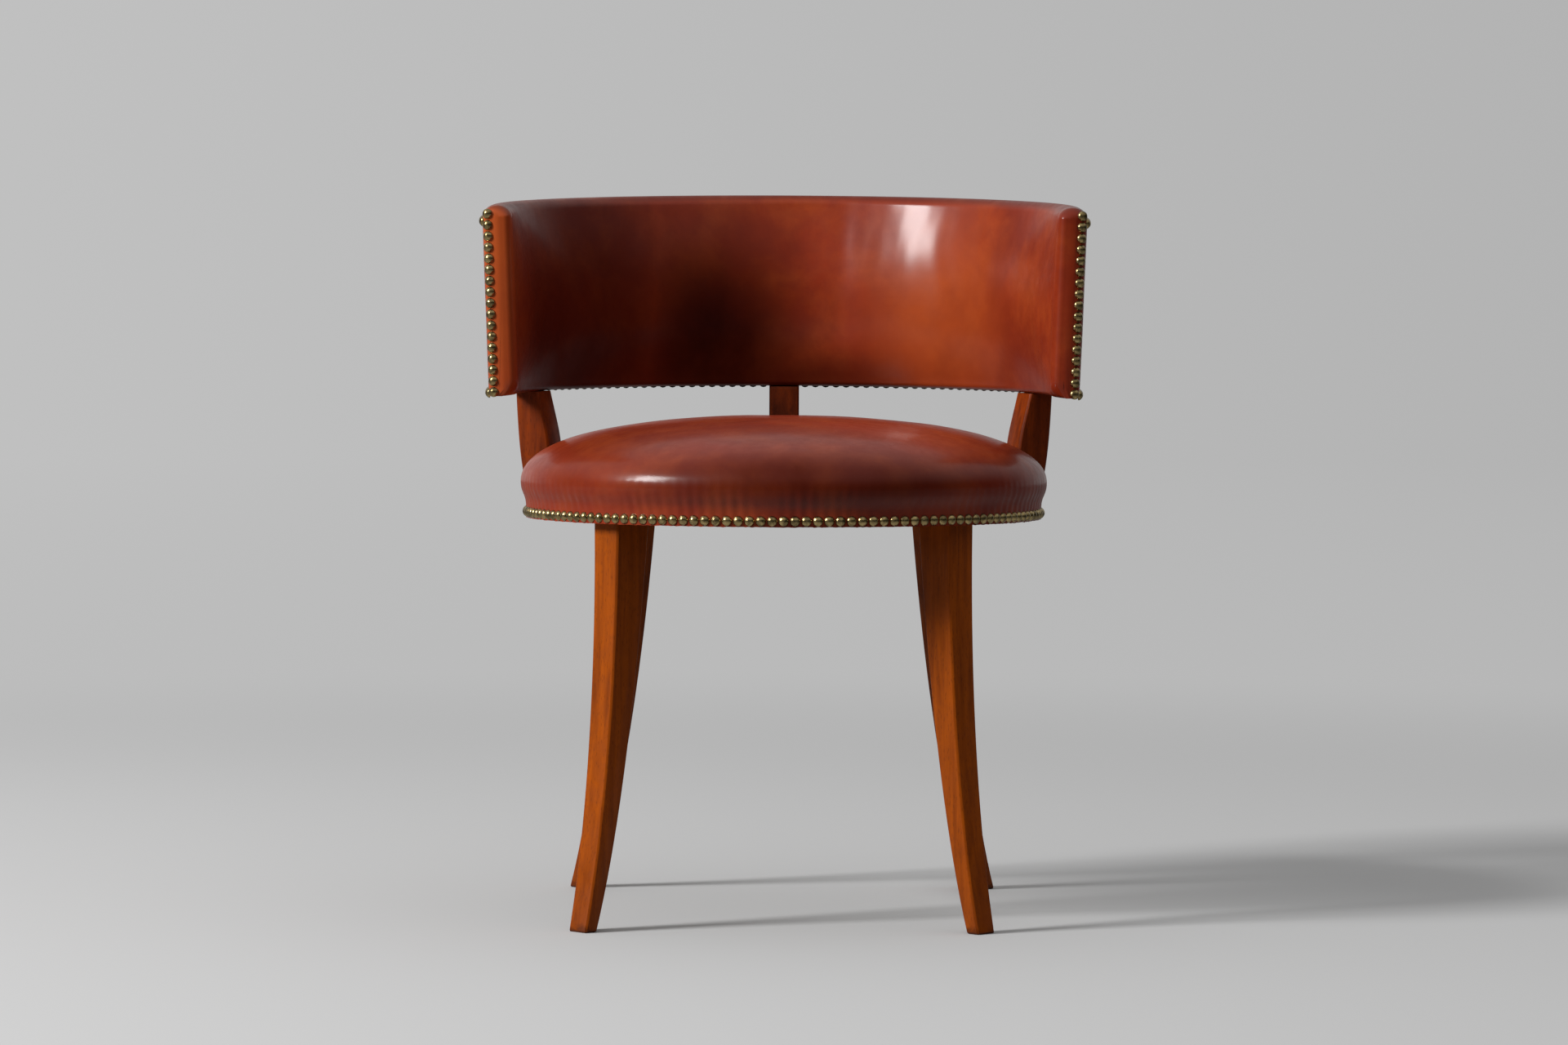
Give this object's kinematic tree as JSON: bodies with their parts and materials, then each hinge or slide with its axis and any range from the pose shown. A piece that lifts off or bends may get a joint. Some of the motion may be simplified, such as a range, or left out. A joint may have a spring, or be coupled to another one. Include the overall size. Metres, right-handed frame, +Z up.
{
  "type": "desk chair",
  "caption": "Round-seated wooden chair with sabre legs, a stuffed leather seat and a low wrap-around leather back, both trimmed with domed nails.",
  "frame": {"origin": "on the floor, under the middle of the chair's bounding box", "axes": "+Z up; the sitter faces -Y, so the back is towards +Y; +X is on the right when the chair is seen from the front"},
  "size_m": [0.5852, 0.5459, 0.6948],
  "materials": {
    "wood": "stained beech, satin shellac or varnish",
    "bare_wood": "unfinished beech inside the seat and the back",
    "leather": "glossy waxed cognac leather with darker patina",
    "brass": "antiqued, with worn bright tops",
    "steel": "plain wood screws",
    "jute": "jute webbing and hessian",
    "stuffing": "curled hair"
  },
  "bodies": {
    "root": {"leg_front_left": "wood", "leg_front_right": "wood", "leg_back_left": "wood", "leg_back_right": "wood", "support_left": "wood", "support_back": "wood", "support_right": "wood", "seat_rail_front": "bare_wood", "seat_rail_front_left": "bare_wood", "seat_rail_front_right": "bare_wood", "seat_rail_back": "bare_wood", "seat_rail_back_left": "bare_wood", "seat_rail_back_right": "bare_wood", "seat_rail_dowels": "bare_wood", "back_rail_top": "bare_wood", "back_rail_bottom": "bare_wood", "back_post_left": "bare_wood", "back_post_right": "bare_wood", "back_frame_dowels": "bare_wood", "seat_leather": "leather", "back_leather_inner": "leather", "back_leather_outer": "leather", "seat_nails": "brass", "back_nails": "brass", "support_screws": "steel", "back_frame_screws": "steel", "seat_webbing_across": "jute", "seat_webbing_lengthwise": "jute", "seat_hessian": "jute", "back_hessian": "jute", "back_lining": "jute", "seat_stuffing": "stuffing", "seat_edge_roll": "stuffing", "back_pad": "stuffing", "back_end_pads": "stuffing", "back_top_roll": "stuffing"}
  },
  "joints": []
}
